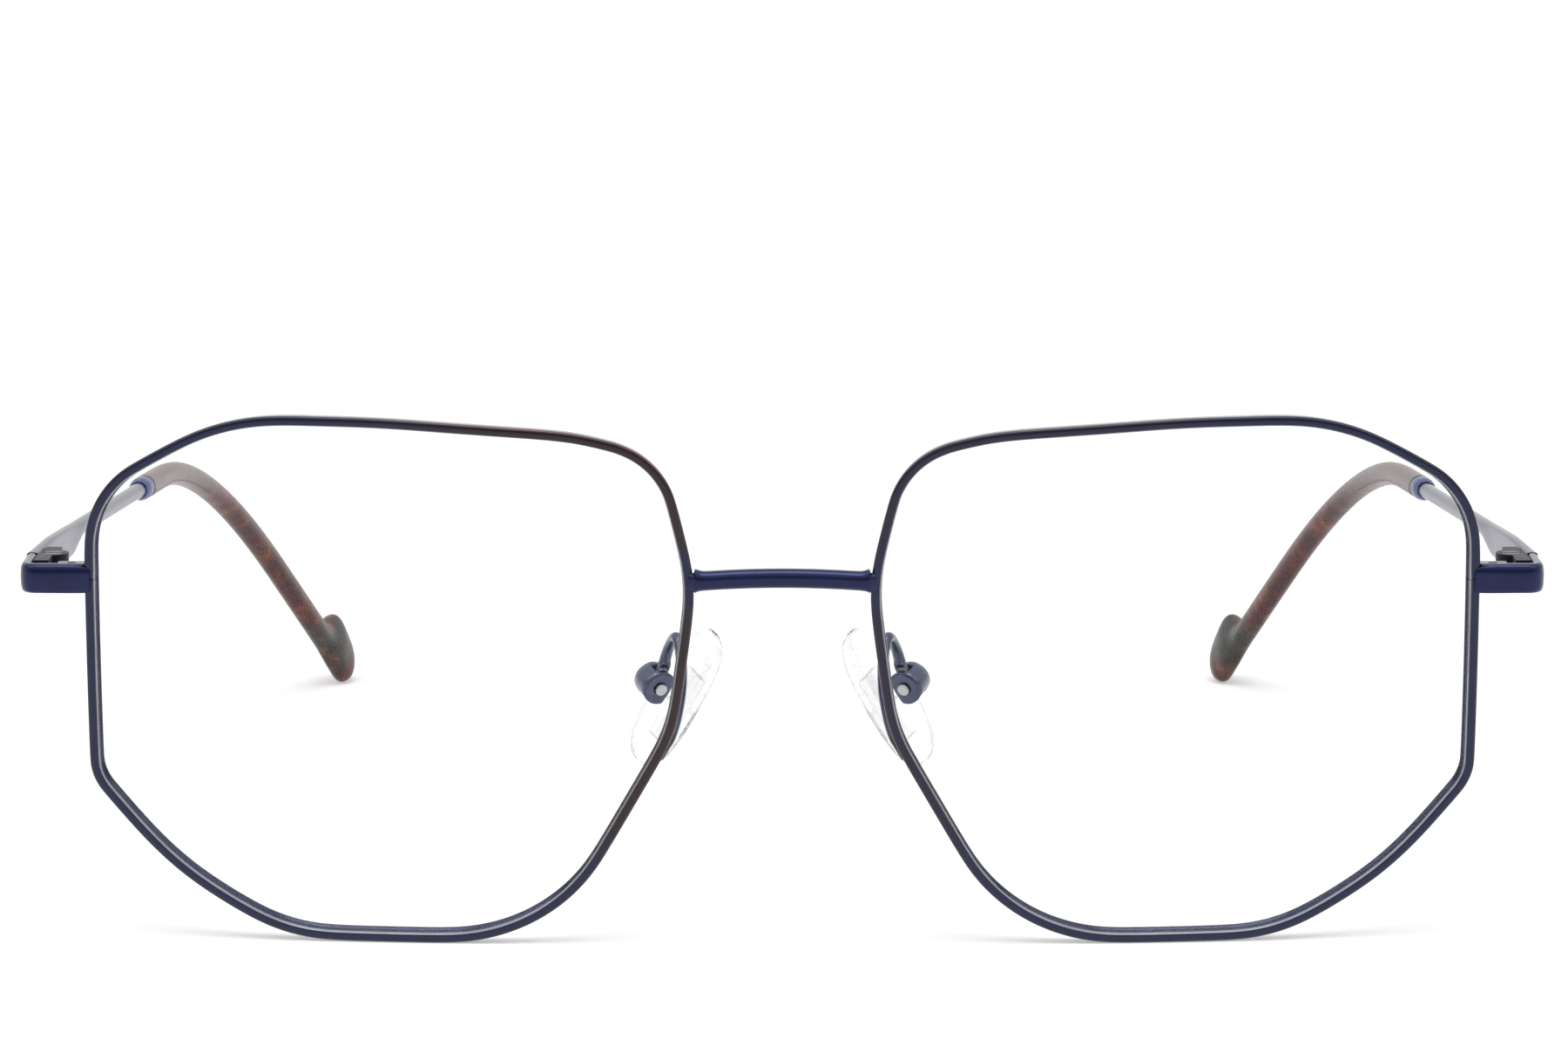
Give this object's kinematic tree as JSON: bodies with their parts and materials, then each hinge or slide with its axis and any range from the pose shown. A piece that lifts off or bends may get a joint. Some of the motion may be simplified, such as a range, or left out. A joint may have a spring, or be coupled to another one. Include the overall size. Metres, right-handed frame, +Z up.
{
  "type": "geometric eyeglasses",
  "caption": "Thin metal eyeglasses with large many-sided rims, clear lenses, an arched bridge, silicone nose pads, folding temples and mottled brown ear tips.",
  "frame": {"origin": "middle of the object's footprint, at the level of the table it stands on", "axes": "+Z up, -Y is where the lenses face, +X towards the wearer's left temple"},
  "size_m": [0.1406, 0.1354, 0.0503],
  "materials": {
    "rim_metal": "satin, dark navy front and brown outer wall",
    "blue_metal": "satin navy",
    "collar_metal": "satin blue",
    "tortoise": "polished, mottled brown and orange",
    "clear_lens": "polished, clear",
    "clear_silicone": "clear, soft",
    "clear_insert": "clear, hard",
    "screws": "bare, turned"
  },
  "bodies": {
    "front": {"bridge": "blue_metal", "right_rim": "rim_metal", "left_rim": "rim_metal", "right_lens": "clear_lens", "left_lens": "clear_lens", "right_endpiece": "blue_metal", "left_endpiece": "blue_metal", "right_rim_lock_upper": "blue_metal", "left_rim_lock_upper": "blue_metal", "right_rim_lock_lower": "blue_metal", "left_rim_lock_lower": "blue_metal", "right_rim_lock_screw": "screws", "left_rim_lock_screw": "screws", "right_hinge_front": "blue_metal", "left_hinge_front": "blue_metal", "right_hinge_screw": "screws", "left_hinge_screw": "screws", "right_pad_arm": "blue_metal", "left_pad_arm": "blue_metal", "right_pad_box": "blue_metal", "left_pad_box": "blue_metal", "right_pad_screw": "screws", "left_pad_screw": "screws"},
    "right_temple_side": {"right_hinge_temple": "blue_metal", "right_temple": "blue_metal", "right_collar": "collar_metal", "right_tip": "tortoise"},
    "left_temple_side": {"left_hinge_temple": "blue_metal", "left_temple": "blue_metal", "left_collar": "collar_metal", "left_tip": "tortoise"},
    "right_pad": {"right_nose_pad": "clear_silicone", "right_pad_insert": "clear_insert"},
    "left_pad": {"left_nose_pad": "clear_silicone", "left_pad_insert": "clear_insert"}
  },
  "joints": [
    {"name": "right_temple_fold", "type": "hinge", "parent": "front", "child": "right_temple_side", "pos_m": [-0.06774, -0.05675, 0.03459], "axis": [0, 0, -1], "range_deg": [0, 81.5]},
    {"name": "left_temple_fold", "type": "hinge", "parent": "front", "child": "left_temple_side", "pos_m": [0.06774, -0.05675, 0.03459], "axis": [0, 0, 1], "range_deg": [0, 76.5]},
    {"name": "right_pad_rock", "type": "hinge", "parent": "front", "child": "right_pad", "pos_m": [-0.01185, -0.0571, 0.02373], "axis": [-0.4199, 0.8445, 0.3325], "range_deg": [-8, 8]},
    {"name": "left_pad_rock", "type": "hinge", "parent": "front", "child": "left_pad", "pos_m": [0.01185, -0.0571, 0.02373], "axis": [0.4199, 0.8445, 0.3325], "range_deg": [-8, 8]}
  ]
}
